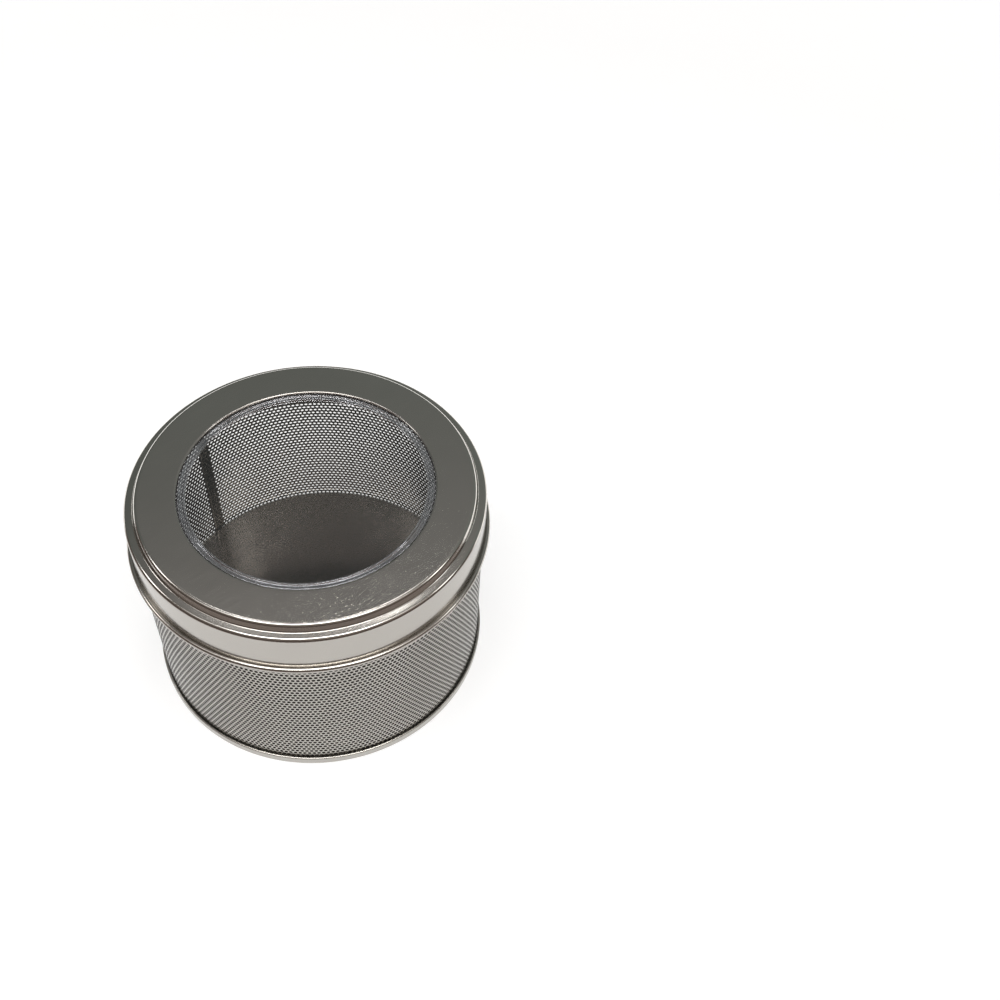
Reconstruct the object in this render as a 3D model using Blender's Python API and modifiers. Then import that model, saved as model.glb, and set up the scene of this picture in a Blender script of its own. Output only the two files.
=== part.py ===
"""A round vented can: perforated tinplate wall, seamed base, and a lift-off lid with a clear window.

Metres, +Z up. The origin is the centre of the ring that the can stands on. Each sheet piece is an
outline, from the centre or the top down its outer side, turned about Z and then given its thickness
on the side away from the outline. The wall is the first piece: the base and the lid are sized round it.
"""
import math

import bmesh
import bpy
from mathutils import Matrix, Vector

# How finely round shapes are divided
FACETS = 72
HOLE_SIDES = 6

# The perforated wall
WALL_RADIUS = 0.0503          # outside of the rolled sheet
WALL_THICKNESS = 0.0003
WALL_TOP = 0.0664             # crest of the curled mouth
MOUTH_CURL_RADIUS = 0.00085   # outside of the inward curl
FOOT_FLANGE = 0.0003          # how far the foot turns out
HOLES_PER_ROW = 36
HOLE_RADIUS = 0.0029
HOLE_ROW_STEP = 0.0085
HOLE_LOW_MARGIN = 0.0045      # from the floor to the middle of the lowest row
HOLE_HIGH_MARGIN = 0.0060     # least room between the crest of the mouth and the middle of a hole
LAP_WIDTH = 0.0040            # the seam, where the sheet's ends lap
LAP_TOP_MARGIN = 0.0021       # from the crest of the mouth down to the lap's top end
SEAM_AZIMUTH_DEG = 142.5

# The base
BASE_THICKNESS = 0.0003
FLOOR_HEIGHT = 0.0067         # the inside floor above what the can stands on
FLOOR_BEND = 0.0008
RIM_HEIGHT = 0.0028
RIM_INNER_BEND = 0.0001

# The lid
LID_THICKNESS = 0.0003
PANEL_STEP = 0.00215          # from the raised panel down to the ledge
PANEL_RADIUS = 0.0479         # outside of the step
PANEL_BEND = 0.0010
LEDGE_BEND = 0.0010
SHOULDER_BEND = 0.0012
SKIRT_DEPTH = 0.0134          # from the ledge down to the middle of the rolled bead
BEAD_HOLLOW_RADIUS = 0.00055

# The window
PANEL_HOLE_RADIUS = 0.0363
LIP_DEPTH = 0.0006            # how far the hole's edge is turned down
LIP_BEND = 0.0005
WINDOW_THICKNESS = 0.0003
WINDOW_EDGE_GAP = 0.0012      # from the window's flange to the step of the lid
RIDGE_WIDTH = 0.0020
RIDGE_SLOPE = 0.0005          # width of each of its slopes
RIDGE_HEIGHT = 0.00065        # above the flange
DISC_DROP = 0.0001            # the clear disc below the flange

# Clearances
SEAM_GAP = 0.0003             # between the wall and the base that grips it
LID_GAP = 0.0003              # round the wall and above its mouth
WINDOW_GAP = 0.0003           # between the window and the lip of the hole
PUNCH_OVERRUN = 0.0010
MERGE_DISTANCE = 0.00001

# Sizes that follow from the ones above
WALL_INSIDE = WALL_RADIUS - WALL_THICKNESS
CHUCK_RADIUS = WALL_INSIDE - SEAM_GAP
FOOT_TOP = BASE_THICKNESS + SEAM_GAP + WALL_THICKNESS
RIM_INSIDE = WALL_RADIUS + FOOT_FLANGE + SEAM_GAP
RIM_LIP_EDGE = WALL_RADIUS + SEAM_GAP
SKIRT_RADIUS = WALL_RADIUS + LID_GAP + LID_THICKNESS
LEDGE_TOP = WALL_TOP + LID_GAP + LID_THICKNESS
PANEL_TOP = LEDGE_TOP + PANEL_STEP
BEAD_MIDDLE = LEDGE_TOP - SKIRT_DEPTH
FLANGE_TOP = PANEL_TOP - LIP_DEPTH - WINDOW_GAP
FLANGE_RADIUS = PANEL_RADIUS - LID_THICKNESS - WINDOW_EDGE_GAP
RIDGE_RADIUS = PANEL_HOLE_RADIUS - WINDOW_GAP

BASE_GREY = (0.36, 0.35, 0.33, 1.0)
WALL_GREY = (0.40, 0.38, 0.35, 1.0)
LID_GREY = (0.46, 0.45, 0.42, 1.0)
CLEAR_TINT = (0.80, 0.81, 0.86, 1.0)


def clear_scene():
    for thing in list(bpy.data.objects):
        bpy.data.objects.remove(thing, do_unlink=True)


def collection(name):
    made = bpy.data.collections.new(name)
    bpy.context.scene.collection.children.link(made)
    return made


def material(name, colour, metallic, roughness, alpha=1.0):
    made = bpy.data.materials.new(name)
    made.use_nodes = True
    shader = made.node_tree.nodes["Principled BSDF"]
    shader.inputs["Base Color"].default_value = colour
    shader.inputs["Metallic"].default_value = metallic
    shader.inputs["Roughness"].default_value = roughness
    shader.inputs["Alpha"].default_value = alpha
    return made


def bend(before, corner, after, radius, steps):
    """The arc that rounds a corner. It takes at most half of the straight stretch on each side."""
    back = before - corner
    ahead = after - corner
    half_angle = 0.5 * back.angle(ahead)
    setback = min(radius / math.tan(half_angle), 0.5 * back.length, 0.5 * ahead.length)
    middle = (back.normalized() + ahead.normalized()).normalized()
    centre = corner + middle * (setback / math.cos(half_angle))
    first = corner + back.normalized() * setback - centre
    last = corner + ahead.normalized() * setback - centre
    return [centre + first.slerp(last, step / steps).normalized() * first.length for step in range(steps + 1)]


def rounded(corners):
    """An outline through corners of (radius, height, bend radius, steps); its two ends stay as they are."""
    places = [Vector(corner[:2]) for corner in corners]
    points = [places[0]]
    for index in range(1, len(corners) - 1):
        bend_radius, steps = corners[index][2:]
        points += bend(places[index - 1], places[index], places[index + 1], bend_radius, steps)
    return points + [places[-1]]


def curl(centre, radius, start_deg, end_deg, steps):
    """Points of an arc, with angles counted from outwards towards up."""
    angles = [math.radians(start_deg + (end_deg - start_deg) * step / steps) for step in range(steps + 1)]
    return [centre + radius * Vector((math.cos(angle), math.sin(angle))) for angle in angles]


def turned_sheet(name, outline, thickness, home, finish):
    """An outline turned about Z, with its thickness inside it. One facet is centred on the seam."""
    mesh = bpy.data.meshes.new(name)
    mesh.from_pydata([(r, 0.0, z) for r, z in outline], [(i, i + 1) for i in range(len(outline) - 1)], [])
    made = bpy.data.objects.new(name, mesh)
    made.rotation_euler[2] = math.radians(SEAM_AZIMUTH_DEG + 180.0 / FACETS)
    home.objects.link(made)
    screw = made.modifiers.new("turn", 'SCREW')
    screw.axis = 'Z'
    screw.angle = math.radians(360.0)
    screw.steps = FACETS
    screw.render_steps = FACETS
    screw.use_merge_vertices = True
    screw.merge_threshold = MERGE_DISTANCE
    screw.use_smooth_shade = True
    solid = made.modifiers.new("sheet", 'SOLIDIFY')
    solid.thickness = thickness
    solid.offset = -1.0
    solid.use_even_offset = True
    mesh.materials.append(finish)
    return made


def settle(made):
    """Keep what the modifiers made as the piece's own mesh, shaded smooth except at its edges."""
    bpy.context.view_layer.update()
    evaluated = made.evaluated_get(bpy.context.evaluated_depsgraph_get())
    mesh = bpy.data.meshes.new_from_object(evaluated)
    mesh.name = made.name
    mesh.shade_smooth()
    mesh.set_sharp_from_angle(angle=math.radians(32.0))
    made.modifiers.clear()
    made.data = mesh
    return made


def guide(name, shape, home):
    """A shape that only cuts or joins: it stays out of the finished part."""
    mesh = bpy.data.meshes.new(name)
    shape.to_mesh(mesh)
    shape.free()
    made = bpy.data.objects.new(name, mesh)
    made.hide_render = True
    made.display_type = 'WIRE'
    home.objects.link(made)
    return made


def boolean(target, tool, operation):
    step = target.modifiers.new(tool.name, 'BOOLEAN')
    step.operation = operation
    step.solver = 'EXACT'
    step.object = tool


def base_end(parts):
    """The bottom: a raised floor, a chuck wall down from it, and a rim rolled up round the wall's foot."""
    rim_under = RIM_HEIGHT - BASE_THICKNESS
    outline = rounded([
        (0.0, FLOOR_HEIGHT, 0.0, 0),
        (CHUCK_RADIUS, FLOOR_HEIGHT, FLOOR_BEND, 2),
        (CHUCK_RADIUS, BASE_THICKNESS, RIM_INNER_BEND, 1),
        (RIM_INSIDE, BASE_THICKNESS, RIM_INNER_BEND, 1),
        (RIM_INSIDE, rim_under, RIM_INNER_BEND, 1),
        (RIM_LIP_EDGE, rim_under, 0.0, 0),
    ])
    finish = material("base_tinplate", BASE_GREY, 1.0, 0.30)
    return settle(turned_sheet("base_end", outline, BASE_THICKNESS, parts, finish))


def hole_places():
    """Angle from the seam and height of each hole. Rows are staggered by half a step round the wall."""
    spacing = math.radians(360.0 / HOLES_PER_ROW)
    lowest = FLOOR_HEIGHT + HOLE_LOW_MARGIN
    highest = WALL_TOP - HOLE_HIGH_MARGIN
    rows = int((highest - lowest) / HOLE_ROW_STEP) + 1
    blank = (0.5 * LAP_WIDTH + HOLE_RADIUS) / WALL_RADIUS
    places = []
    for row in range(rows):
        start = 0.25 * spacing if row % 2 == 0 else 0.75 * spacing
        for column in range(HOLES_PER_ROW):
            angle = start + column * spacing
            from_seam = min(angle, math.radians(360.0) - angle)
            if from_seam > blank:
                places.append((angle, lowest + row * HOLE_ROW_STEP))
    return places


def hole_punches(guides):
    """One six-sided punch for each hole, pointing outwards through the wall."""
    shape = bmesh.new()
    lay = Matrix.Rotation(math.radians(90.0), 4, 'Y')
    for angle, height in hole_places():
        turn = Matrix.Rotation(math.radians(SEAM_AZIMUTH_DEG) + angle, 4, 'Z')
        place = Matrix.Translation((WALL_RADIUS - 0.5 * WALL_THICKNESS, 0.0, height))
        bmesh.ops.create_cone(shape, cap_ends=True, segments=HOLE_SIDES, radius1=HOLE_RADIUS, radius2=HOLE_RADIUS,
                              depth=WALL_THICKNESS + 2.0 * PUNCH_OVERRUN, matrix=turn @ place @ lay)
    return guide("hole_punches", shape, guides)


def seam_lap(guides):
    """The sheet's inner end: a flat strip that doubles the wall on its inside along the seam."""
    facet_inside = WALL_INSIDE * math.cos(math.radians(180.0 / FACETS))
    inner = facet_inside - WALL_THICKNESS
    outer = facet_inside + 0.5 * WALL_THICKNESS
    low = FLOOR_HEIGHT + SEAM_GAP
    high = WALL_TOP - LAP_TOP_MARGIN
    turn = Matrix.Rotation(math.radians(SEAM_AZIMUTH_DEG), 4, 'Z')
    place = Matrix.Translation((0.5 * (inner + outer), 0.0, 0.5 * (low + high)))
    size = Matrix.Diagonal((outer - inner, LAP_WIDTH, high - low, 1.0))
    shape = bmesh.new()
    bmesh.ops.create_cube(shape, size=1.0, matrix=turn @ place @ size)
    return guide("seam_lap", shape, guides)


def perforated_wall(parts, guides):
    """The rolled sheet: a mouth curled inwards, a lapped seam, and a foot turned out into the base's rim."""
    curl_centre = Vector((WALL_RADIUS - MOUTH_CURL_RADIUS, WALL_TOP - MOUTH_CURL_RADIUS))
    outline = curl(curl_centre, MOUTH_CURL_RADIUS, 200.0, 0.0, 5)
    outline += [Vector((WALL_RADIUS, FOOT_TOP)), Vector((WALL_RADIUS + FOOT_FLANGE, FOOT_TOP))]
    finish = material("perforated_tinplate", WALL_GREY, 1.0, 0.35)
    made = turned_sheet("perforated_wall", outline, WALL_THICKNESS, parts, finish)
    boolean(made, seam_lap(guides), 'UNION')
    boolean(made, hole_punches(guides), 'DIFFERENCE')
    return settle(made)


def lid_shell(parts):
    """The lid: a panel with a round hole, a step down to a ledge, a skirt, and a bead rolled outwards."""
    outline = rounded([
        (PANEL_HOLE_RADIUS, PANEL_TOP - LIP_DEPTH, 0.0, 0),
        (PANEL_HOLE_RADIUS, PANEL_TOP, LIP_BEND, 1),
        (PANEL_RADIUS, PANEL_TOP, PANEL_BEND, 2),
        (PANEL_RADIUS, LEDGE_TOP, LEDGE_BEND, 2),
        (SKIRT_RADIUS, LEDGE_TOP, SHOULDER_BEND, 3),
        (SKIRT_RADIUS, BEAD_MIDDLE, 0.0, 0),
    ])
    outline += curl(Vector((SKIRT_RADIUS + BEAD_HOLLOW_RADIUS, BEAD_MIDDLE)), BEAD_HOLLOW_RADIUS, 180.0, 460.0, 6)[1:]
    finish = material("lid_tinplate", LID_GREY, 1.0, 0.28)
    return settle(turned_sheet("lid_shell", outline, LID_THICKNESS, parts, finish))


def lid_window(parts):
    """The clear insert: a flat disc, a raised ridge inside the panel's hole, and a flange under the panel."""
    crest = FLANGE_TOP + RIDGE_HEIGHT
    disc_top = FLANGE_TOP - DISC_DROP
    ridge_inside = RIDGE_RADIUS - RIDGE_WIDTH
    outline = [
        (0.0, disc_top),
        (ridge_inside, disc_top),
        (ridge_inside + RIDGE_SLOPE, crest),
        (RIDGE_RADIUS - RIDGE_SLOPE, crest),
        (RIDGE_RADIUS, FLANGE_TOP),
        (FLANGE_RADIUS, FLANGE_TOP),
    ]
    finish = material("clear_plastic", CLEAR_TINT, 0.0, 0.05, alpha=0.35)
    return settle(turned_sheet("lid_window", outline, WINDOW_THICKNESS, parts, finish))


def build():
    clear_scene()
    parts = collection("vented_metal_can")
    guides = collection("cutters")
    base_end(parts)
    perforated_wall(parts, guides)
    lift = bpy.data.objects.new("lid_lift_axis", None)
    lift.location = (0.0, 0.0, BEAD_MIDDLE)
    parts.objects.link(lift)
    for piece in (lid_shell(parts), lid_window(parts)):
        piece.parent = lift
        piece.matrix_parent_inverse = Matrix.Translation((0.0, 0.0, -BEAD_MIDDLE))


build()
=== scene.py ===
# %% [markdown]
# # A vented tinplate can with a window lid
# The real object is a round tin: a wall rolled from finely perforated tinplate, a base seamed to its
# foot, and a slip lid with a clear window. This lesson dresses a plain working model of it. The working
# model gives the sizes and what moves; every piece here is placed by the same sizes, in metres, +Z up.

# %% Load the frame
import math

import bmesh
import bpy
from mathutils import Matrix, Vector

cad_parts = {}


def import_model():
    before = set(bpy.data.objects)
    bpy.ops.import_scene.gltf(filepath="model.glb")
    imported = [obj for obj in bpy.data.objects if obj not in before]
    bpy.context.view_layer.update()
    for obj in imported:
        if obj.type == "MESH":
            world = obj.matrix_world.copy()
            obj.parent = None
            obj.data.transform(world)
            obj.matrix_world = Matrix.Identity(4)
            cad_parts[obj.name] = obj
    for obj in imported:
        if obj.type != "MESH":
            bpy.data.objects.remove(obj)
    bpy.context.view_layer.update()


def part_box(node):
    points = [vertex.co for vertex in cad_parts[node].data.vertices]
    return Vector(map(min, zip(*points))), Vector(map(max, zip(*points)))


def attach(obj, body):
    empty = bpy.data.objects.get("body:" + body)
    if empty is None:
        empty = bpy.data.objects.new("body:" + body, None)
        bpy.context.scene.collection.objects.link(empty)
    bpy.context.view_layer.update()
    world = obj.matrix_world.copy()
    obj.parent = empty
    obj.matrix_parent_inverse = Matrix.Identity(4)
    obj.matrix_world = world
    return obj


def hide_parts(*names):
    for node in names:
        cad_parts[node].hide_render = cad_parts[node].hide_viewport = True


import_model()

# %% [markdown]
# ## Sizes
# The sizes that the pieces share come first. Heights are read off the frame's own boxes where they can
# be, so the visual pieces stay on the working model; sheet gauges and bends are typed in millimetres.

# %% Sizes in millimetres, turned to metres
MM = 0.001


def top_of(node):
    """The height of a node's highest point in the working model."""
    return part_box(node)[1][2]


SHEET = 0.3 * MM
WALL_RADIUS = 50.3 * MM
WALL_TOP = top_of("perforated_wall")
PANEL_TOP = top_of("lid_shell")
FLOOR_TOP = top_of("base_end")
SEAM_AZIMUTH = math.radians(142.5)
print("lid panel at", round(PANEL_TOP / MM, 2), "mm, floor at", round(FLOOR_TOP / MM, 2), "mm")

# %% [markdown]
# ## Helpers for sheet metal
# Pressed tinplate is mostly one outline turned about the can's axis, so three small helpers do the
# work: one rounds the corners of an outline, one turns it, and one gives the surface its gauge. A
# lathe of polygons could be typed by hand, but `bmesh.ops.spin` makes it from the outline alone. A
# size that only an outline uses stays in millimetres, as `rounded` takes it.

# %% Round the corners of an outline
def bend(before, corner, after, radius, steps):
    """The arc that rounds a corner between two straight stretches."""
    back = before - corner
    ahead = after - corner
    half_angle = 0.5 * back.angle(ahead)
    setback = radius / math.tan(half_angle)
    middle = (back.normalized() + ahead.normalized()).normalized()
    centre = corner + middle * (setback / math.cos(half_angle))
    first = corner + back.normalized() * setback - centre
    last = corner + ahead.normalized() * setback - centre
    turns = [first.slerp(last, step / steps).normalized() for step in range(steps + 1)]
    return [centre + turn * first.length for turn in turns]


HOLD = 0.4 * MM


def held(points):
    """Straight stretches get a point near each end, so that smooth shading leaves them straight."""
    kept = [points[0]]
    for before, after in zip(points, points[1:]):
        along = after - before
        if along.length > 3.0 * HOLD:
            kept += [before + along.normalized() * HOLD, after - along.normalized() * HOLD]
        kept.append(after)
    return kept


def rounded(corners, steps):
    """An outline through corners of (radius, height, bend radius) in millimetres."""
    places = [Vector((r * MM, z * MM)) for r, z, _ in corners]
    points = [places[0]]
    for index in range(1, len(corners) - 1):
        bend_radius = corners[index][2] * MM
        if bend_radius == 0.0:
            points.append(places[index])
        else:
            points += bend(places[index - 1], places[index], places[index + 1], bend_radius, steps)
    return held(points + [places[-1]])


def curl(centre, radius, start_deg, end_deg, steps):
    """Points of a rolled edge, with angles counted from outwards towards up."""
    sweep_deg = end_deg - start_deg
    angles = [math.radians(start_deg + sweep_deg * step / steps) for step in range(steps + 1)]
    return [centre + radius * Vector((math.cos(angle), math.sin(angle))) for angle in angles]


# %% Turn an outline, and give a surface its gauge
ROUND_STEPS = 288
WELD = 0.002 * MM


def turned(outline, steps=ROUND_STEPS):
    """The surface that an outline sweeps about the can's axis. It runs down its outer side."""
    shape = bmesh.new()
    corners = [shape.verts.new((r, 0.0, z)) for r, z in outline]
    edges = [shape.edges.new(pair) for pair in zip(corners, corners[1:])]
    bmesh.ops.spin(shape, geom=corners + edges, cent=(0.0, 0.0, 0.0), axis=(0.0, 0.0, 1.0),
                   angle=math.radians(360.0), steps=steps, use_merge=True)
    bmesh.ops.remove_doubles(shape, verts=shape.verts, dist=WELD)
    return shape


def outwards(shape, wanted):
    """Turn the faces so that they look away from the axis and up, whichever `wanted` measures."""
    bmesh.ops.recalc_face_normals(shape, faces=shape.faces)
    if sum(wanted(face) for face in shape.faces) < 0.0:
        bmesh.ops.reverse_faces(shape, faces=shape.faces)


def looks_out(face):
    middle = face.calc_center_median()
    return face.normal.dot(Vector((middle.x, middle.y, 0.0))) * face.calc_area()


def looks_up(face):
    return face.normal.z * face.calc_area()


def piece(name, shape, material, gauge=None, crisp_deg=32.0, edge=None):
    """A finished object from a surface: its gauge inside it, smooth except at its cut edges.

    `edge` is a second material, for the cut edges.
    """
    mesh = bpy.data.meshes.new(name)
    shape.to_mesh(mesh)
    shape.free()
    mesh.materials.append(material)
    if edge is not None:
        mesh.materials.append(edge)
    made = bpy.data.objects.new(name, mesh)
    bpy.context.scene.collection.objects.link(made)
    if gauge is not None:
        wall = made.modifiers.new("gauge", 'SOLIDIFY')
        wall.thickness = gauge
        wall.offset = -1.0
        wall.use_even_offset = True
        wall.material_offset_rim = 0 if edge is None else 1
        bpy.context.view_layer.update()
        finished = made.evaluated_get(bpy.context.evaluated_depsgraph_get())
        mesh = bpy.data.meshes.new_from_object(finished)
        made.modifiers.clear()
        made.data = mesh
    made.data.name = name
    made.data.shade_smooth()
    made.data.set_sharp_from_angle(angle=math.radians(crisp_deg))
    print(name, len(made.data.polygons), "faces")
    return made


# %% [markdown]
# ## Helpers for materials
# Colours are written as they look on a screen, as hex, and turned to linear light once. One helper adds
# a node: a value sets the socket, another node's socket is linked to it.

# %% Colour and node helpers
def linear(hex_colour):
    """A screen colour such as 'b8b4ac' as linear light with full alpha."""
    parts = [int(hex_colour[index:index + 2], 16) / 255.0 for index in (0, 2, 4)]
    light = [part / 12.92 if part <= 0.04045 else ((part + 0.055) / 1.055) ** 2.4 for part in parts]
    return (*light, 1.0)


def add(tree, kind, sockets=None, **settings):
    """Add a node. Settings are its own options; sockets maps an input to a value or to a socket."""
    made = tree.nodes.new(kind)
    for name, value in settings.items():
        setattr(made, name, value)
    for name, value in (sockets or {}).items():
        if isinstance(value, bpy.types.NodeSocket):
            tree.links.new(value, made.inputs[name])
        else:
            made.inputs[name].default_value = value
    return made


def new_material(name):
    made = bpy.data.materials.new(name)
    made.use_nodes = True
    made.node_tree.nodes.clear()
    return made, made.node_tree


# %% [markdown]
# ## Tinplate
# Tinplate is cold-rolled steel with a bright tin coat. It keeps the fine parallel lines of the rolls,
# so its mirror image is soft, and handling leaves short nicks that glint where the light is nearly
# mirrored. The rolls ran at about 45 degrees on this lid. Noise that is stretched along the rolling
# draws the lines. Stretched Voronoi cells draw the nicks: each cell has a lot of its own, and is struck
# where that lot beats a threshold. Real roll lines are finer than a tenth of a millimetre. They are
# drawn coarser here, so that they show. The pan inside has a duller, darker copy of the tin, and its
# darkness is painted shade for the inside of the can.

# %% Sizes of the grain
ROLLING_DEG = 47.0
LINE_ACROSS_MM = 0.40
LINE_ALONG_MM = 9.0
NICK_ACROSS_MM = 0.50
NICK_ALONG_MM = 1.6
NICK_REACH = 0.36
NICKED_PLACE = Vector((27.0, -34.0, 69.0)) * MM
NICKED_FULLY = 8.0 * MM
NICKED_AT_ALL = 42.0 * MM
NICKED_FALL = 14.0
FEWEST_SPARED = 0.64
CLOUDS_PER_METRE = 60.0
GLOSS_SPREAD = 0.03


def along_rolling(tree, place, across_mm, along_mm):
    """Object coordinates in which one unit is one mark across and one mark along the rolling."""
    return add(tree, "ShaderNodeMapping", {
        "Vector": place,
        "Rotation": (0.0, 0.0, math.radians(ROLLING_DEG)),
        "Scale": (along_mm * MM, across_mm * MM, across_mm * MM),
    }, vector_type='TEXTURE').outputs["Vector"]


# %% Tinplate material
def tinplate(name, hex_dark, hex_light, roughness, line_depth, nick_depth):
    """Rolled tinplate. The depths of its lines and nicks are in micrometres.

    The nicks lie thickest round NICKED_PLACE, where FEWEST_SPARED of the cells have none. They thin out
    away from it, and NICKED_FALL times as fast below it.
    """
    made, tree = new_material(name)
    place = add(tree, "ShaderNodeTexCoord").outputs["Object"]
    lines = add(tree, "ShaderNodeTexNoise", {
        "Vector": along_rolling(tree, place, LINE_ACROSS_MM, LINE_ALONG_MM),
        "Scale": 1.0, "Detail": 2.0, "Roughness": 0.5}).outputs["Fac"]
    dents = add(tree, "ShaderNodeTexVoronoi", {
        "Vector": along_rolling(tree, place, NICK_ACROSS_MM, NICK_ALONG_MM), "Scale": 1.0},
        voronoi_dimensions='2D').outputs
    apart = add(tree, "ShaderNodeVectorMath", {0: place, 1: NICKED_PLACE}, operation='SUBTRACT')
    apart = add(tree, "ShaderNodeVectorMath", {
        0: apart.outputs["Vector"], 1: (1.0, 1.0, NICKED_FALL)}, operation='MULTIPLY')
    apart = add(tree, "ShaderNodeVectorMath", {0: apart.outputs["Vector"]}, operation='LENGTH')
    threshold = add(tree, "ShaderNodeMapRange", {
        "Value": apart.outputs["Value"], "From Min": NICKED_FULLY, "From Max": NICKED_AT_ALL,
        "To Min": FEWEST_SPARED, "To Max": 1.0}).outputs["Result"]
    lot = add(tree, "ShaderNodeSeparateXYZ", {"Vector": dents["Color"]}).outputs["X"]
    struck = add(tree, "ShaderNodeMath", {
        0: lot, 1: threshold}, operation='GREATER_THAN').outputs["Value"]
    hollow = add(tree, "ShaderNodeMapRange", {
        "Value": dents["Distance"], "From Min": 0.0, "From Max": NICK_REACH,
        "To Min": 1.0, "To Max": 0.0}, interpolation_type='SMOOTHSTEP').outputs["Result"]
    nicks = add(tree, "ShaderNodeMath", {0: hollow, 1: struck}, operation='MULTIPLY').outputs["Value"]
    clouds = add(tree, "ShaderNodeTexNoise", {
        "Vector": place, "Scale": CLOUDS_PER_METRE, "Detail": 2.0}).outputs["Fac"]
    colour = add(tree, "ShaderNodeMix", {
        "Factor": clouds, "A": linear(hex_dark), "B": linear(hex_light)}, data_type='RGBA')
    gloss = add(tree, "ShaderNodeMapRange", {
        "Value": lines, "From Min": 0.3, "From Max": 0.7,
        "To Min": roughness - GLOSS_SPREAD, "To Max": roughness + GLOSS_SPREAD})
    line_bump = add(tree, "ShaderNodeBump", {
        "Height": lines, "Distance": line_depth * 0.001 * MM, "Strength": 1.0})
    nick_bump = add(tree, "ShaderNodeBump", {
        "Height": nicks, "Distance": nick_depth * 0.001 * MM, "Strength": 1.0,
        "Normal": line_bump.outputs["Normal"]})
    shader = add(tree, "ShaderNodeBsdfPrincipled", {
        "Base Color": colour.outputs["Result"], "Metallic": 1.0, "Roughness": gloss.outputs["Result"],
        "Normal": nick_bump.outputs["Normal"]})
    add(tree, "ShaderNodeOutputMaterial", {"Surface": shader.outputs["BSDF"]})
    return made


lid_tin = tinplate("rolled_tinplate_lid", "b1ada7", "b8b4ae", 0.16, 2.0, 10.0)
wall_tin = tinplate("perforated_tinplate_wall", "b1aea8", "bab7b0", 0.20, 0.8, 0.0)
base_tin = tinplate("rolled_tinplate_base", "b1aea8", "b8b5af", 0.20, 1.0, 0.0)
# The pan's darker colours are painted shade for the inside of the can.
shaded_pan_tin = tinplate("tinplate_pan_painted_shade", "9c9894", "a29e99", 0.15, 3.0, 0.0)

# %% [markdown]
# A punch leaves the sides of a hole rough and without tin, and they oxidise. They stay dark and dull
# beside the bright face, and that is what makes the holes read black from outside.

# %% Punched edge
def oxidised_steel(name):
    made, tree = new_material(name)
    shader = add(tree, "ShaderNodeBsdfPrincipled", {
        "Base Color": linear("24211f"), "Metallic": 0.0, "Roughness": 0.9, "Specular IOR Level": 0.1})
    add(tree, "ShaderNodeOutputMaterial", {"Surface": shader.outputs["BSDF"]})
    return made


punched_edge = oxidised_steel("oxidised_steel_punched_edge")

# %% [markdown]
# ## Clear plastic
# The window is a thin sheet of clear PET, formed with a raised ridge. Light passes a thin sheet
# straight, so the sheet is drawn as its gloss alone: Fresnel sets how much of it is seen, and the rest
# is let through. A refracting body would look the same and keep the lamp's light out of the can.
# Forming leaves the ridge milky and less clear, which a mask by radius gives it alone.

# %% Clear plastic material
RIDGE_INNER_MM = 33.75
RIDGE_OUTER_MM = 36.0
RIDGE_FADE_MM = 0.4
STREAKS_PER_METRE = 320.0
PET_INDEX = 1.5


def clear_plastic(name):
    made, tree = new_material(name)
    place = add(tree, "ShaderNodeTexCoord").outputs["Object"]
    flat = add(tree, "ShaderNodeVectorMath", {0: place, 1: (1.0, 1.0, 0.0)}, operation='MULTIPLY')
    radius = add(tree, "ShaderNodeVectorMath", {0: flat.outputs["Vector"]}, operation='LENGTH')
    fade_start = (RIDGE_INNER_MM - 0.25 * RIDGE_FADE_MM) * MM
    within = add(tree, "ShaderNodeMapRange", {
        "Value": radius.outputs["Value"], "From Min": fade_start,
        "From Max": fade_start + RIDGE_FADE_MM * MM}).outputs["Result"]
    streaks = add(tree, "ShaderNodeTexNoise", {
        "Vector": place, "Scale": STREAKS_PER_METRE, "Detail": 1.0}).outputs["Fac"]
    milk = add(tree, "ShaderNodeMapRange", {
        "Value": streaks, "From Min": 0.35, "From Max": 0.65,
        "To Min": 0.34, "To Max": 0.50}).outputs["Result"]
    milk = add(tree, "ShaderNodeMath", {0: within, 1: milk}, operation='MULTIPLY').outputs["Value"]
    from_inside = add(tree, "ShaderNodeNewGeometry").outputs["Backfacing"]
    index = add(tree, "ShaderNodeMapRange", {
        "Value": from_inside, "To Min": PET_INDEX, "To Max": 1.0 / PET_INDEX})
    gloss = add(tree, "ShaderNodeFresnel", {"IOR": index.outputs["Result"]}).outputs["Fac"]
    seen = add(tree, "ShaderNodeMath", {0: gloss, 1: milk}, operation='MAXIMUM').outputs["Value"]
    colour = add(tree, "ShaderNodeMix", {
        "Factor": within, "A": linear("ffffff"), "B": linear("c3c4c8")},
        data_type='RGBA').outputs["Result"]
    rough = add(tree, "ShaderNodeMapRange", {
        "Value": milk, "To Min": 0.03, "To Max": 0.12}).outputs["Result"]
    mirror = add(tree, "ShaderNodeMapRange", {
        "Value": milk, "To Min": 1.0, "To Max": 0.75}).outputs["Result"]
    shader = add(tree, "ShaderNodeBsdfPrincipled", {
        "Base Color": colour, "Metallic": mirror, "Roughness": rough, "Alpha": seen})
    add(tree, "ShaderNodeOutputMaterial", {"Surface": shader.outputs["BSDF"]})
    return made


window_plastic = clear_plastic("clear_pet_window")

# %% [markdown]
# ## The lid
# The real lid is drawn from one disc: a flat panel with a round hole, a step down to a ledge, a rounded
# shoulder, a straight skirt, and a bead rolled outwards at its foot. Its bends are what catches the
# light, so each has its own radius and enough steps to stay round in a close view.

# %% Lid shell
LEDGE_TOP = PANEL_TOP - 2.15 * MM
PANEL_HOLE = 36.3
STEP_RADIUS = 47.98
STEP_LEAN = 0.42
SKIRT_RADIUS = 50.9
BEAD_MIDDLE = LEDGE_TOP - 13.4 * MM
BEAD_HOLLOW = 0.55 * MM
SHOULDER_BEND = 1.2


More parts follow.
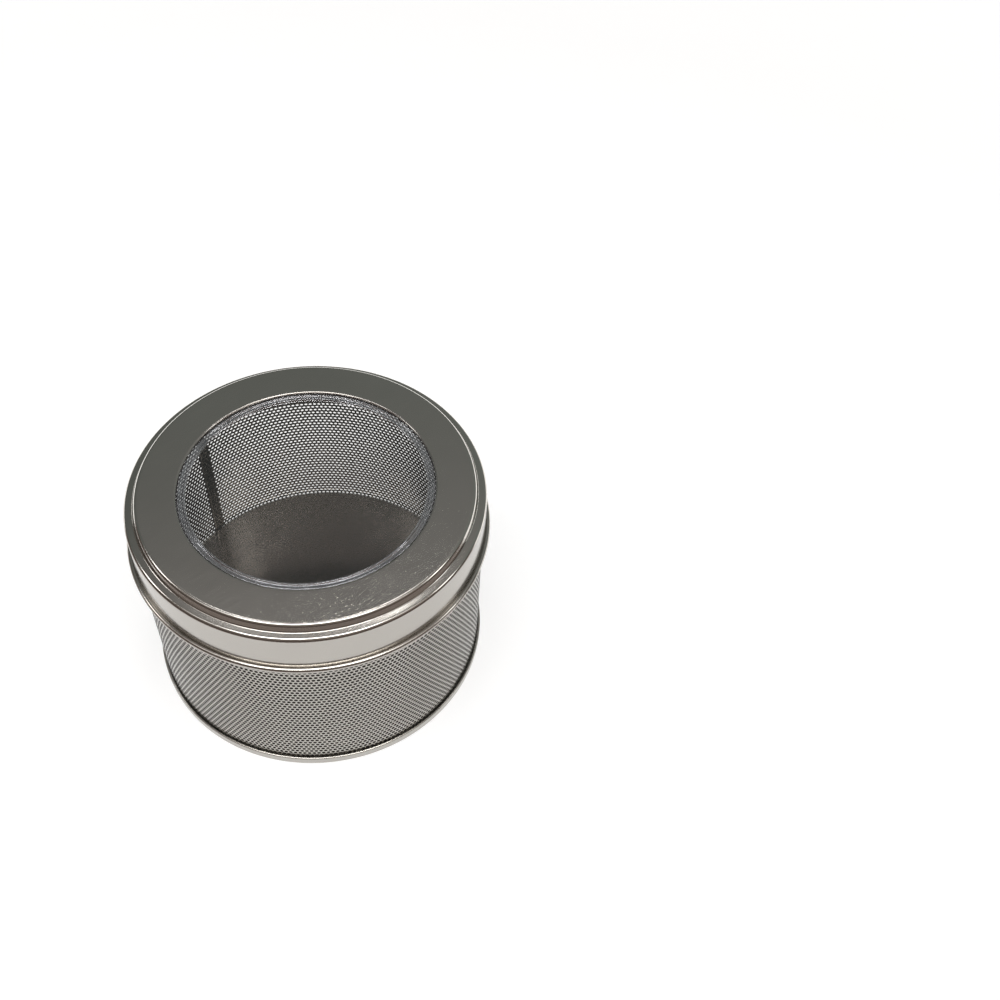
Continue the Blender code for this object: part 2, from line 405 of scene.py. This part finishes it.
def lid_shell():
    panel, ledge, foot = PANEL_TOP / MM, LEDGE_TOP / MM, BEAD_MIDDLE / MM
    outline = rounded([
        (PANEL_HOLE, panel - 0.6, 0.0),
        (PANEL_HOLE, panel, 0.5),
        (STEP_RADIUS - STEP_LEAN, panel, SHOULDER_BEND),
        (STEP_RADIUS + STEP_LEAN, ledge + 0.05, 0.6),
        (SKIRT_RADIUS, ledge - 0.25, SHOULDER_BEND),
        (SKIRT_RADIUS, foot, 0.0),
    ], 10)
    bead = Vector((SKIRT_RADIUS * MM + BEAD_HOLLOW, BEAD_MIDDLE))
    outline += curl(bead, BEAD_HOLLOW, 180.0, 495.0, 24)[1:]
    shape = turned(outline)
    outwards(shape, looks_up)
    made = piece("lid_shell_tin", shape, lid_tin, gauge=SHEET)
    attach(made, "lid")
    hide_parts("lid_shell")
    return made


lid_shell()

# %% [markdown]
# ## The window
# A formed sheet: a flat disc, a ridge with two crests that stands inside the panel's hole, and a flange
# that lies under the panel. It is turned like the lid.

# %% Window
FLANGE_DROP = 0.9
FLANGE_RADIUS = 46.4
INNER_CREST = 0.55
OUTER_CREST = 0.50
VALLEY = 0.20
CREST_BEND = 0.15
VALLEY_BEND = 0.2


def lid_window():
    flange = PANEL_TOP / MM - FLANGE_DROP
    disc = flange - 0.1
    outline = rounded([
        (0.0, disc, 0.0),
        (RIDGE_INNER_MM, disc, 0.12),
        (RIDGE_INNER_MM + 0.22, disc + INNER_CREST, CREST_BEND),
        (RIDGE_INNER_MM + 0.65, disc + INNER_CREST, CREST_BEND),
        (RIDGE_INNER_MM + 0.95, disc + VALLEY, VALLEY_BEND),
        (RIDGE_OUTER_MM - 0.75, disc + VALLEY, VALLEY_BEND),
        (RIDGE_OUTER_MM - 0.50, disc + OUTER_CREST, CREST_BEND),
        (RIDGE_OUTER_MM - 0.05, disc + OUTER_CREST, CREST_BEND),
        (RIDGE_OUTER_MM + 0.15, flange, 0.1),
        (FLANGE_RADIUS, flange, 0.0),
    ], 8)
    shape = turned(outline)
    outwards(shape, looks_up)
    made = piece("lid_window_pet", shape, window_plastic, gauge=SHEET)
    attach(made, "lid")
    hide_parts("lid_window")
    return made


lid_window()

# %% [markdown]
# ## The base
# The real base is a plug: a floor raised inside the wall, a chuck wall down from it, and a rim that is
# rolled up round the wall's foot and closed on it.

# %% Base
CHUCK_RADIUS = 49.7
RIM_RADIUS = 50.9
RIM_FOOT = 0.3
RIM_HEIGHT = 2.5
RIM_LIP = 0.3
RIM_BEND = 0.1


def base_end():
    panel = FLOOR_TOP / MM
    outline = rounded([
        (0.0, panel, 0.0),
        (CHUCK_RADIUS, panel, 0.8),
        (CHUCK_RADIUS, RIM_FOOT, RIM_BEND),
        (RIM_RADIUS, RIM_FOOT, RIM_BEND),
        (RIM_RADIUS, RIM_HEIGHT, RIM_BEND),
        (RIM_RADIUS - RIM_LIP, RIM_HEIGHT, 0.0),
    ], 8)
    shape = turned(outline)
    outwards(shape, looks_up)
    made = piece("base_end_tin", shape, base_tin, gauge=SHEET)
    # The floor's upward faces inside the can take the darker tin, which paints the shade that falls
    # there.
    made.data.materials.append(shaded_pan_tin)
    for face in made.data.polygons:
        if face.normal.z > 0.5 and face.center.z > FLOOR_TOP - 0.1 * MM:
            face.material_index = 1
    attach(made, "can")
    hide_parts("base_end")
    return made


base_end()

# %% [markdown]
# ## The perforated wall
# The real wall is punched in staggered rows of round holes, closer than a millimetre and a half, with a
# plain margin left under the lid. Each hole here is a circle of eight sides bridged to a six-sided
# cell, so that the cells of neighbouring rows share their corners. One column of cells is built flat,
# rolled to the wall's radius, and repeated by `spin`. Cutting the holes with a Boolean would take
# minutes and leave ragged faces. The sheet is drawn a tenth of a millimetre thicker than such tins
# have, which makes the holes read darker from outside.

# %% Sizes of the perforation
COLUMNS = 228
COLUMN_ANGLE = math.radians(360.0 / COLUMNS)
ROW_STEP = 1.29 * MM
LOWEST_ROW = 3.65 * MM
ROWS = 37
HOLE_RADIUS = 0.56 * MM
FIRST_AZIMUTH = math.radians(1.125)
WALL_SHEET = 0.40 * MM


# %% One hole in its cell, and a column of them
def cell(shape, across, height, pitch, punched):
    """A six-sided patch of flat sheet, with a hole in it if it is punched. The rows run along X."""
    middle = Matrix.Translation((across, height, 0.0))
    reach = 2.0 / 3.0 * ROW_STEP
    widen = Matrix.Diagonal((0.5 * pitch / (reach * math.cos(math.radians(30.0))), 1.0, 1.0, 1.0))
    patch = bmesh.ops.create_circle(shape, cap_ends=not punched, segments=6, radius=reach,
                                    matrix=middle @ widen)["verts"]
    if not punched:
        return
    hole = bmesh.ops.create_circle(shape, segments=8, radius=HOLE_RADIUS,
                                   matrix=middle @ Matrix.Rotation(math.radians(22.5), 4, 'Z'))["verts"]
    edges = {edge for vert in patch + hole for edge in vert.link_edges}
    bmesh.ops.bridge_loops(shape, edges=list(edges))


def rolled(shape, first_azimuth, radius):
    """Roll flat sheet to a radius: X runs round the can and Y becomes height."""
    for vert in shape.verts:
        azimuth = first_azimuth + vert.co.x / radius
        vert.co = (radius * math.cos(azimuth), radius * math.sin(azimuth), vert.co.y)


def perforated(first_azimuth, columns, first_row=0, radius=WALL_RADIUS, punched=True):
    """Columns of cells from an azimuth on. Every other row stands half a column to one side."""
    shape = bmesh.new()
    pitch = COLUMN_ANGLE * radius
    for row in range(first_row, ROWS):
        side = 0.25 if row % 2 == 0 else -0.25
        cell(shape, (0.5 + side) * pitch, LOWEST_ROW + row * ROW_STEP, pitch, punched)
    rolled(shape, first_azimuth, radius)
    bmesh.ops.spin(shape, geom=shape.verts[:] + shape.edges[:] + shape.faces[:], cent=(0.0, 0.0, 0.0),
                   axis=(0.0, 0.0, 1.0), angle=COLUMN_ANGLE * (columns - 1), steps=columns - 1,
                   use_duplicate=True)
    bmesh.ops.remove_doubles(shape, verts=shape.verts, dist=WELD)
    outwards(shape, looks_out)
    return shape


# %% Say that a piece belongs to the wall
def wall_piece(name, shape):
    made = piece(name, shape, wall_tin, gauge=WALL_SHEET, edge=punched_edge)
    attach(made, "can")
    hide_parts("perforated_wall")


# %% The wall in four panels
LAP_COLUMNS = 2
PANEL_COLUMNS = COLUMNS // 4
LAP_FIRST_COLUMN = round((SEAM_AZIMUTH - FIRST_AZIMUTH) / COLUMN_ANGLE - 0.5 * LAP_COLUMNS)
LAP_START = FIRST_AZIMUTH + COLUMN_ANGLE * LAP_FIRST_COLUMN
WALL_START = LAP_START + LAP_COLUMNS * COLUMN_ANGLE
for index, side in enumerate(("left", "front", "right", "back")):
    columns = PANEL_COLUMNS if side != "back" else PANEL_COLUMNS - LAP_COLUMNS
    panel_start = WALL_START + index * PANEL_COLUMNS * COLUMN_ANGLE
    wall_piece("wall_sheet_" + side, perforated(panel_start, columns))

# %% [markdown]
# ## The lap seam
# The wall's ends lap by some three millimetres and are spot-welded. The outer end is plain there, so
# the holes of the inner end show dark from inside. The inner end stops in a narrow plain edge. The
# plain end is the same cells unpunched, which keeps its edge fitted to the staggered rows beside it.
# The inner end is more of the same sheet at a smaller radius, cut straight with `bisect_plane`.

# %% The two ends of the sheet
LAP_RADIUS = WALL_RADIUS - WALL_SHEET - 0.03 * MM
LAP_FIRST_ROW = 3
LAP_SHIFT = 0.3
MARGIN_ANGLE = math.radians(0.9)


def margin(shape, azimuth, radius, low_z, high_z):
    """A plain strip of sheet beside an azimuth."""
    foot = shape.verts.new((radius * math.cos(azimuth), radius * math.sin(azimuth), low_z))
    head = shape.verts.new((foot.co.x, foot.co.y, high_z))
    bmesh.ops.spin(shape, geom=[foot, head, shape.edges.new((foot, head))], cent=(0.0, 0.0, 0.0),
                   axis=(0.0, 0.0, 1.0), angle=MARGIN_ANGLE, steps=3)


def lap_seam():
    wall_piece("wall_outer_end", perforated(LAP_START, LAP_COLUMNS, punched=False))
    shape = perforated(LAP_START - LAP_SHIFT * COLUMN_ANGLE, LAP_COLUMNS, LAP_FIRST_ROW, LAP_RADIUS)
    last = LAP_START + (LAP_COLUMNS - LAP_SHIFT) * COLUMN_ANGLE
    bmesh.ops.bisect_plane(shape, geom=shape.verts[:] + shape.edges[:] + shape.faces[:],
                           plane_co=(0.0, 0.0, 0.0), plane_no=(-math.sin(last), math.cos(last), 0.0),
                           clear_outer=True)
    heights = [vert.co.z for vert in shape.verts]
    margin(shape, last, LAP_RADIUS, min(heights), max(heights))
    outwards(shape, looks_out)
    wall_piece("wall_inner_end", shape)


lap_seam()

# %% Plain foot and mouth of the wall
FOOT_HEIGHT = 0.9
FOOT_FLANGE = 0.3
MOUTH_CURL = 0.85 * MM


def wall_ends():
    bottom_edge = LOWEST_ROW - 0.5 * ROW_STEP
    top_edge = LOWEST_ROW + (ROWS - 0.5) * ROW_STEP
    radius = WALL_RADIUS / MM
    foot = rounded([
        (radius, bottom_edge / MM, 0.0),
        (radius, FOOT_HEIGHT, 0.2),
        (radius + FOOT_FLANGE, FOOT_HEIGHT, 0.0),
    ], 6)
    centre = Vector((WALL_RADIUS - MOUTH_CURL, WALL_TOP - MOUTH_CURL))
    mouth = curl(centre, MOUTH_CURL, 200.0, 0.0, 16) + [Vector((WALL_RADIUS, top_edge))]
    for name, outline in (("wall_foot_band", foot), ("wall_mouth_band", mouth)):
        shape = turned(outline)
        outwards(shape, looks_out)
        wall_piece(name, shape)


wall_ends()

# %% [markdown]
# ## Floor, light and camera
# The can stands on a plain pale floor under a row of soft lamps. The floor adds some light of its own
# to what the camera, the metal and the plastic see of it, so it reads white and still takes a shadow.
# The metal sees it brighter farther out, as if a lit backdrop curved up behind it. From below it is
# clear, so the underside can be looked at too.

# %% Floor
def floor():
    """The table. Its own glow goes by distance from the can, in metres: to the eye, and to metal."""
    shape = bmesh.new()
    bmesh.ops.create_circle(shape, cap_ends=True, segments=96, radius=6.0)
    outwards(shape, looks_up)
    made, tree = new_material("pale_table")
    path = add(tree, "ShaderNodeLightPath").outputs
    place = add(tree, "ShaderNodeTexCoord").outputs["Object"]
    away = add(tree, "ShaderNodeVectorMath", {0: place}, operation='LENGTH').outputs["Value"]
    to_eye = add(tree, "ShaderNodeMapRange", {
        "Value": away, "From Min": 0.4, "From Max": 1.6,
        "To Min": 0.66, "To Max": 1.0}).outputs["Result"]
    to_metal = add(tree, "ShaderNodeMapRange", {
        "Value": away, "From Min": 0.14, "From Max": 0.24,
        "To Min": 0.62, "To Max": 1.8}).outputs["Result"]
    reflected = add(tree, "ShaderNodeMath", {
        0: path["Is Glossy Ray"], 1: path["Is Transmission Ray"]}, operation='MAXIMUM').outputs["Value"]
    reflected = add(tree, "ShaderNodeMath", {
        0: reflected, 1: to_metal}, operation='MULTIPLY').outputs["Value"]
    own = add(tree, "ShaderNodeMath", {
        0: path["Is Camera Ray"], 1: to_eye, 2: reflected}, operation='MULTIPLY_ADD')
    glow = add(tree, "ShaderNodeEmission", {
        "Color": linear("ffffff"), "Strength": own.outputs["Value"]})
    dull = add(tree, "ShaderNodeBsdfDiffuse", {"Color": linear("b4b4b4")})
    both = add(tree, "ShaderNodeAddShader", {0: glow.outputs["Emission"], 1: dull.outputs["BSDF"]})
    below = add(tree, "ShaderNodeNewGeometry").outputs["Backfacing"]
    clear = add(tree, "ShaderNodeBsdfTransparent")
    table = add(tree, "ShaderNodeMixShader", {
        0: below, 1: both.outputs["Shader"], 2: clear.outputs["BSDF"]})
    add(tree, "ShaderNodeOutputMaterial", {"Surface": table.outputs["Shader"]})
    ground = piece("table", shape, made)


floor()

# %% Softbox
def softbox(name, centre, size_x, size_y, radiance):
    """A rectangular lamp of a given radiance, facing down."""
    lamp = bpy.data.lights.new(name, 'AREA')
    lamp.shape = 'RECTANGLE'
    lamp.size = size_x
    lamp.size_y = size_y
    lamp.energy = radiance * math.pi * size_x * size_y
    made = bpy.data.objects.new(name, lamp)
    made.location = centre
    bpy.context.scene.collection.objects.link(made)


softbox("overhead_softbox", (0.0, -0.27, 1.0), 0.80, 0.30, 7.5)
softbox("softbox_wing_right", (0.60, -0.25, 1.0), 0.40, 0.26, 1.4)
softbox("softbox_wing_left", (-0.60, -0.25, 1.0), 0.40, 0.26, 1.4)
softbox("side_strip_right", (1.30, 0.0, 1.0), 0.70, 0.30, 4.5)
softbox("side_strip_left", (-1.40, 0.0, 1.0), 0.90, 0.30, 4.5)
softbox("far_lamp_right", (0.02, 0.37, 1.0), 0.20, 0.12, 7.0)
softbox("far_lamp_left", (-0.26, 0.34, 1.0), 0.14, 0.10, 7.0)

# %% [markdown]
# A low card stands round the front of the can, brown-grey below and dark above: cards are the usual way
# to give bright metal its dark lines. Only the metal and the plastic see it.

# %% Dark card
CARD_RADIUS = 0.20
CARD_HEIGHT = 0.12
CARD_START = math.radians(-190.0)
CARD_SPAN = math.radians(200.0)
CARD_BROWN_UP_TO = 0.050
CARD_DARK_FROM = 0.070


def dark_card():
    shape = bmesh.new()
    first = Vector((CARD_RADIUS * math.cos(CARD_START), CARD_RADIUS * math.sin(CARD_START), 0.0))
    foot = shape.verts.new(first)
    head = shape.verts.new(first + Vector((0.0, 0.0, CARD_HEIGHT)))
    bmesh.ops.spin(shape, geom=[foot, head, shape.edges.new((foot, head))], cent=(0.0, 0.0, 0.0),
                   axis=(0.0, 0.0, 1.0), angle=CARD_SPAN, steps=60)
    dark, tree = new_material("dark_card")
    place = add(tree, "ShaderNodeTexCoord").outputs["Object"]
    height = add(tree, "ShaderNodeSeparateXYZ", {"Vector": place}).outputs["Z"]
    upper = add(tree, "ShaderNodeMapRange", {
        "Value": height, "From Min": CARD_BROWN_UP_TO, "From Max": CARD_DARK_FROM}).outputs["Result"]
    tone = add(tree, "ShaderNodeMix", {
        "Factor": upper, "A": linear("9a8f89"), "B": linear("564e4a")},
        data_type='RGBA').outputs["Result"]
    shader = add(tree, "ShaderNodeEmission", {"Color": tone, "Strength": 1.0})
    add(tree, "ShaderNodeOutputMaterial", {"Surface": shader.outputs["Emission"]})
    card = piece("dark_card", shape, dark)
    card.visible_camera = False
    card.visible_diffuse = False
    card.visible_shadow = False


dark_card()

# %% [markdown]
# Polished metal shows the room it stands in, so the room matters as much as the lamp. Its light is
# written by direction: grey behind the can, dark and warm on the near side, lighter overhead.

# %% World
def shades(tree, height, stops):
    """A ramp of grey or tinted light by height, from (height, screen colour) stops."""
    ramp = add(tree, "ShaderNodeValToRGB", {"Fac": height})
    elements = ramp.color_ramp.elements
    for _ in range(len(stops) - 2):
        elements.new(0.5)
    for element, (position, hex_colour) in zip(elements, stops):
        element.position = position
        element.color = linear(hex_colour)
    return ramp.outputs["Color"]


def world():
    made = bpy.data.worlds.new("room")
    bpy.context.scene.world = made
    made.use_nodes = True
    tree = made.node_tree
    tree.nodes.clear()
    direction = add(tree, "ShaderNodeTexCoord").outputs["Generated"]
    parts = add(tree, "ShaderNodeSeparateXYZ", {"Vector": direction}).outputs
    far_side = shades(tree, parts["Z"], [
        (0.0, "868a88"), (0.40, "787d7a"), (0.70, "7a7f7c"),
        (0.77, "828382"), (0.83, "888786"), (1.0, "b4b2b0")])
    near_side = shades(tree, parts["Z"], [
        (0.0, "4a433f"), (0.30, "746a64"), (0.60, "9a8f88"),
        (0.80, "8c837d"), (0.94, "98928d"), (1.0, "b4b2b0")])
    side = add(tree, "ShaderNodeMapRange", {
        "Value": parts["Y"], "From Min": -0.35, "From Max": 0.35}, interpolation_type='SMOOTHSTEP')
    colour = add(tree, "ShaderNodeMix", {
        "Factor": side.outputs["Result"], "A": near_side, "B": far_side}, data_type='RGBA')
    to_right = add(tree, "ShaderNodeMapRange", {
        "Value": parts["X"], "From Min": -0.6, "From Max": 0.6, "To Min": 0.85, "To Max": 1.35})
    room = add(tree, "ShaderNodeBackground", {
        "Color": colour.outputs["Result"], "Strength": to_right.outputs["Result"]})
    backdrop = add(tree, "ShaderNodeBackground", {"Color": linear("ffffff"), "Strength": 1.0})
    seen = add(tree, "ShaderNodeLightPath").outputs["Is Camera Ray"]
    sky = add(tree, "ShaderNodeMixShader", {
        0: seen, 1: room.outputs["Background"], 2: backdrop.outputs["Background"]})
    add(tree, "ShaderNodeOutputWorld", {"Surface": sky.outputs["Shader"]})


world()

# %% Camera
CAMERA_PLACE = Vector((54.5, -207.5, 317.8)) * MM
CAMERA_RIGHT = Vector((0.99686, 0.06081, 0.05066))
CAMERA_DOWN = Vector((0.07915, -0.7659, -0.6381))
LENS_MM = 41.364
SENSOR_MM = 36.0


def camera():
    data = bpy.data.cameras.new("camera")
    data.lens = LENS_MM
    data.sensor_width = SENSOR_MM
    data.sensor_fit = 'HORIZONTAL'
    data.clip_start = 10.0 * MM
    made = bpy.data.objects.new("camera", data)
    right = CAMERA_RIGHT.normalized()
    back = right.cross(-CAMERA_DOWN).normalized()
    up = back.cross(right)
    turn = Matrix((right, up, back)).transposed().to_4x4()
    made.matrix_world = Matrix.Translation(CAMERA_PLACE) @ turn
    bpy.context.scene.collection.objects.link(made)
    bpy.context.scene.camera = made


camera()
bpy.context.scene.view_settings.view_transform = 'Standard'
